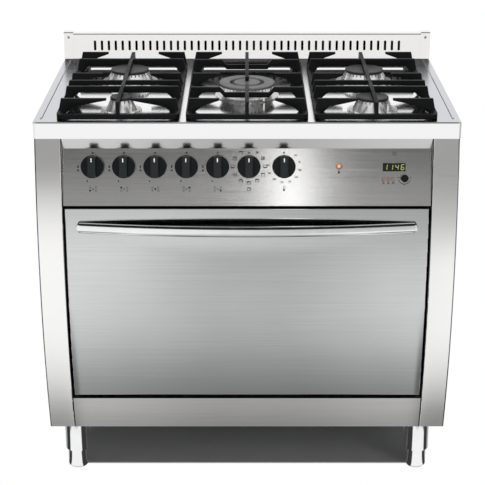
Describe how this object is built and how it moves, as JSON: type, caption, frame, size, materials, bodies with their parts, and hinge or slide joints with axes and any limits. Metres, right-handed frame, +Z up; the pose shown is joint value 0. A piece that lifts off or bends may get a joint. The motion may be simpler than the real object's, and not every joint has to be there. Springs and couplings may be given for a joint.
{
  "type": "kitchen stove",
  "caption": "Free-standing steel range with a gas hob, cast-iron pan supports, sloping control panel, curved oven door with a bowed handle, and adjustable legs.",
  "frame": {"origin": "on the floor, below the centre of the bounding box", "axes": "+X to the right of someone facing the stove, -Y towards that person, +Z up"},
  "size_m": [0.9, 0.6646, 0.917],
  "materials": {
    "brushed_steel": "vertical satin brushing",
    "bright_steel": "fine bright satin",
    "door_steel": "smooth bright satin",
    "chrome": "polished",
    "cast_iron": "matt enamelled",
    "black_enamel": "satin enamel",
    "oven_enamel": "speckled enamel",
    "zinc_sheet": "zinc coated sheet",
    "aluminium": "die cast, bright",
    "knob_plastic": "satin black",
    "black_plastic": "fine matt",
    "lens": "dark clear",
    "clear_glass": "clear",
    "seal_rubber": "matt",
    "mineral_wool": "fibrous",
    "brass": "machined",
    "white_ceramic": "glazed",
    "steel_rod": "bright rod"
  },
  "bodies": {
    "cabinet": {"base_frame": "zinc_sheet", "side_panels": "brushed_steel", "rear_panel": "zinc_sheet", "front_pillars": "brushed_steel", "plinth_panel": "brushed_steel", "worktop": "bright_steel", "upstand": "bright_steel", "upstand_end_caps": "bright_steel", "control_panel": "brushed_steel", "burner_cups": "aluminium", "flame_spreaders": "aluminium", "burner_caps": "black_enamel", "spark_electrodes": "white_ceramic", "gas_rail": "steel_rod", "gas_taps": "brass", "gas_pipes": "aluminium", "oven_liner": "oven_enamel", "oven_jacket": "mineral_wool", "door_seal": "seal_rubber", "oven_shelf": "steel_rod", "heating_elements": "steel_rod", "fan_motor": "zinc_sheet", "fan_cover": "oven_enamel", "oven_lamp": "clear_glass", "oven_switches": "black_plastic", "clock_module": "black_plastic", "panel_lenses": "lens", "leg_sleeves": "chrome", "hinge_arms": "zinc_sheet", "terminal_box": "black_plastic", "fasteners": "steel_rod"},
    "oven_door": {"door_skin": "door_steel", "door_liner": "oven_enamel", "door_glass": "clear_glass", "door_handle": "chrome", "hinge_straps": "zinc_sheet"},
    "oven_fan": {"oven_fan": "zinc_sheet"},
    "function_knob": {"function_knob": "knob_plastic"},
    "thermostat_knob": {"thermostat_knob": "knob_plastic"},
    "clock_knob": {"clock_knob": "knob_plastic"},
    "tap_spindle_1": {"tap_spindle_1": "brass"},
    "gas_knob_1": {"gas_knob_1": "knob_plastic"},
    "tap_spindle_2": {"tap_spindle_2": "brass"},
    "gas_knob_2": {"gas_knob_2": "knob_plastic"},
    "tap_spindle_3": {"tap_spindle_3": "brass"},
    "gas_knob_3": {"gas_knob_3": "knob_plastic"},
    "tap_spindle_4": {"tap_spindle_4": "brass"},
    "gas_knob_4": {"gas_knob_4": "knob_plastic"},
    "tap_spindle_5": {"tap_spindle_5": "brass"},
    "gas_knob_5": {"gas_knob_5": "knob_plastic"},
    "clock_button_1": {"clock_button_1": "chrome"},
    "clock_button_2": {"clock_button_2": "chrome"},
    "clock_button_3": {"clock_button_3": "chrome"},
    "pan_support_left": {"pan_support_left": "cast_iron"},
    "pan_support_centre": {"pan_support_centre": "cast_iron"},
    "pan_support_right": {"pan_support_right": "cast_iron"},
    "foot_front_left": {"foot_front_left": "chrome"},
    "foot_front_right": {"foot_front_right": "chrome"},
    "foot_rear_left": {"foot_rear_left": "chrome"},
    "foot_rear_right": {"foot_rear_right": "chrome"}
  },
  "joints": [
    {"name": "door_hinge", "type": "hinge", "parent": "cabinet", "child": "oven_door", "pos_m": [0, -0.24402, 0.233], "axis": [1, 0, 0], "range_deg": [0, 90], "stiffness_Nm_per_rad": 7, "springref_deg": -51.57},
    {"name": "fan_spin", "type": "hinge", "parent": "cabinet", "child": "oven_fan", "pos_m": [0, 0.20026, 0.438], "axis": [0, -1, 0], "continuous": true},
    {"name": "gas_push_1", "type": "slide", "parent": "cabinet", "child": "tap_spindle_1", "axis": [0, 0.9651, -0.2617], "range_m": [0, 0.0035], "stiffness_N_per_m": 2000, "springref_m": -0.002},
    {"name": "gas_turn_1", "type": "hinge", "parent": "tap_spindle_1", "child": "gas_knob_1", "pos_m": [-0.327, -0.25777, 0.75], "axis": [0, -0.9651, 0.2617], "range_deg": [0, 205]},
    {"name": "gas_push_2", "type": "slide", "parent": "cabinet", "child": "tap_spindle_2", "axis": [0, 0.9651, -0.2617], "range_m": [0, 0.0035], "stiffness_N_per_m": 2000, "springref_m": -0.002},
    {"name": "gas_turn_2", "type": "hinge", "parent": "tap_spindle_2", "child": "gas_knob_2", "pos_m": [-0.26076, -0.25777, 0.75], "axis": [0, -0.9651, 0.2617], "range_deg": [0, 205]},
    {"name": "gas_push_3", "type": "slide", "parent": "cabinet", "child": "tap_spindle_3", "axis": [0, 0.9651, -0.2617], "range_m": [0, 0.0035], "stiffness_N_per_m": 2000, "springref_m": -0.002},
    {"name": "gas_turn_3", "type": "hinge", "parent": "tap_spindle_3", "child": "gas_knob_3", "pos_m": [-0.19452, -0.25777, 0.75], "axis": [0, -0.9651, 0.2617], "range_deg": [0, 205]},
    {"name": "gas_push_4", "type": "slide", "parent": "cabinet", "child": "tap_spindle_4", "axis": [0, 0.9651, -0.2617], "range_m": [0, 0.0035], "stiffness_N_per_m": 2000, "springref_m": -0.002},
    {"name": "gas_turn_4", "type": "hinge", "parent": "tap_spindle_4", "child": "gas_knob_4", "pos_m": [-0.12828, -0.25777, 0.75], "axis": [0, -0.9651, 0.2617], "range_deg": [0, 205]},
    {"name": "gas_push_5", "type": "slide", "parent": "cabinet", "child": "tap_spindle_5", "axis": [0, 0.9651, -0.2617], "range_m": [0, 0.0035], "stiffness_N_per_m": 2000, "springref_m": -0.002},
    {"name": "gas_turn_5", "type": "hinge", "parent": "tap_spindle_5", "child": "gas_knob_5", "pos_m": [-0.06204, -0.25777, 0.75], "axis": [0, -0.9651, 0.2617], "range_deg": [0, 205]},
    {"name": "function_turn", "type": "hinge", "parent": "cabinet", "child": "function_knob", "pos_m": [0.0042, -0.25777, 0.75], "axis": [0, -0.9651, 0.2617], "continuous": true},
    {"name": "thermostat_turn", "type": "hinge", "parent": "cabinet", "child": "thermostat_knob", "pos_m": [0.07839, -0.25777, 0.75], "axis": [0, -0.9651, 0.2617], "range_deg": [-270, 0]},
    {"name": "clock_turn", "type": "hinge", "parent": "cabinet", "child": "clock_knob", "pos_m": [0.334, -0.26432, 0.72587], "axis": [0, -0.9651, 0.2617], "range_deg": [-30, 30], "stiffness_Nm_per_rad": 0.02},
    {"name": "clock_press_1", "type": "slide", "parent": "cabinet", "child": "clock_button_1", "axis": [0, 0.9651, -0.2617], "range_m": [0, 0.0015], "stiffness_N_per_m": 800, "springref_m": -0.0005},
    {"name": "clock_press_2", "type": "slide", "parent": "cabinet", "child": "clock_button_2", "axis": [0, 0.9651, -0.2617], "range_m": [0, 0.0015], "stiffness_N_per_m": 800, "springref_m": -0.0005},
    {"name": "clock_press_3", "type": "slide", "parent": "cabinet", "child": "clock_button_3", "axis": [0, 0.9651, -0.2617], "range_m": [0, 0.0015], "stiffness_N_per_m": 800, "springref_m": -0.0005},
    {"name": "support_lift_left", "type": "slide", "parent": "cabinet", "child": "pan_support_left", "axis": [0, 0, 1], "range_m": [0, 0.12]},
    {"name": "support_lift_centre", "type": "slide", "parent": "cabinet", "child": "pan_support_centre", "axis": [0, 0, 1], "range_m": [0, 0.12]},
    {"name": "support_lift_right", "type": "slide", "parent": "cabinet", "child": "pan_support_right", "axis": [0, 0, 1], "range_m": [0, 0.12]},
    {"name": "foot_screw_front_left", "type": "slide", "parent": "cabinet", "child": "foot_front_left", "axis": [0, 0, -1], "range_m": [0, 0.03]},
    {"name": "foot_screw_front_right", "type": "slide", "parent": "cabinet", "child": "foot_front_right", "axis": [0, 0, -1], "range_m": [0, 0.03]},
    {"name": "foot_screw_rear_left", "type": "slide", "parent": "cabinet", "child": "foot_rear_left", "axis": [0, 0, -1], "range_m": [0, 0.03]},
    {"name": "foot_screw_rear_right", "type": "slide", "parent": "cabinet", "child": "foot_rear_right", "axis": [0, 0, -1], "range_m": [0, 0.03]}
  ]
}
